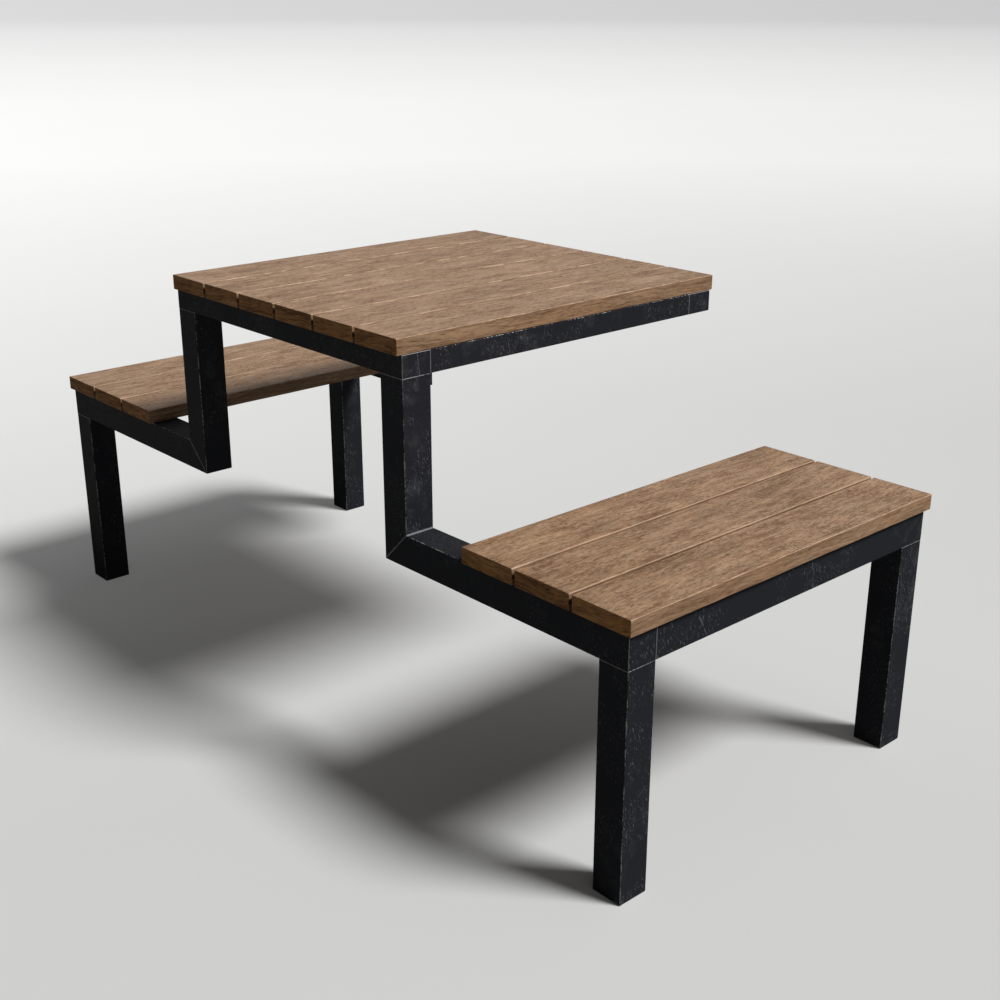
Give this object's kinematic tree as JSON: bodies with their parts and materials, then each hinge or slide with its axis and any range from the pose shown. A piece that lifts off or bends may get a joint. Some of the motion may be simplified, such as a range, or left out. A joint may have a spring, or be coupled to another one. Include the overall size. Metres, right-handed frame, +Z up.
{
  "type": "picnic table",
  "caption": "Small picnic table with a plank top and a lower plank seat on each side, on a stepped welded square-tube frame that is open at one end for getting in.",
  "frame": {"origin": "on the floor, under the middle of the table top", "axes": "+X from the left seat to the right seat, +Y from the front hoop with the posts to the open rear, +Z up"},
  "size_m": [1.6316, 0.729, 0.75],
  "materials": {
    "wood": "oiled, matte, weathered",
    "steel": "black, satin, worn at the corners",
    "foot": "moulded",
    "screw": "zinc plated"
  },
  "bodies": {
    "root": {"table_plank_1": "wood", "table_plank_2": "wood", "table_plank_3": "wood", "table_plank_4": "wood", "table_plank_5": "wood", "table_plank_6": "wood", "left_seat_plank_1": "wood", "left_seat_plank_2": "wood", "left_seat_plank_3": "wood", "right_seat_plank_1": "wood", "right_seat_plank_2": "wood", "right_seat_plank_3": "wood", "front_table_rail": "steel", "rear_table_rail": "steel", "left_table_beam": "steel", "left_post": "steel", "left_front_seat_rail": "steel", "left_rear_seat_rail": "steel", "left_seat_beam": "steel", "left_front_leg": "steel", "left_rear_leg": "steel", "left_front_table_cap": "steel", "left_rear_table_cap": "steel", "left_front_seat_cap": "steel", "left_rear_seat_cap": "steel", "left_seat_beam_cap": "steel", "right_table_beam": "steel", "right_post": "steel", "right_front_seat_rail": "steel", "right_rear_seat_rail": "steel", "right_seat_beam": "steel", "right_front_leg": "steel", "right_rear_leg": "steel", "right_front_table_cap": "steel", "right_rear_table_cap": "steel", "right_front_seat_cap": "steel", "right_rear_seat_cap": "steel", "right_seat_beam_cap": "steel", "left_front_foot": "foot", "left_rear_foot": "foot", "right_front_foot": "foot", "right_rear_foot": "foot", "table_screws": "screw", "left_seat_screws": "screw", "right_seat_screws": "screw"}
  },
  "joints": []
}
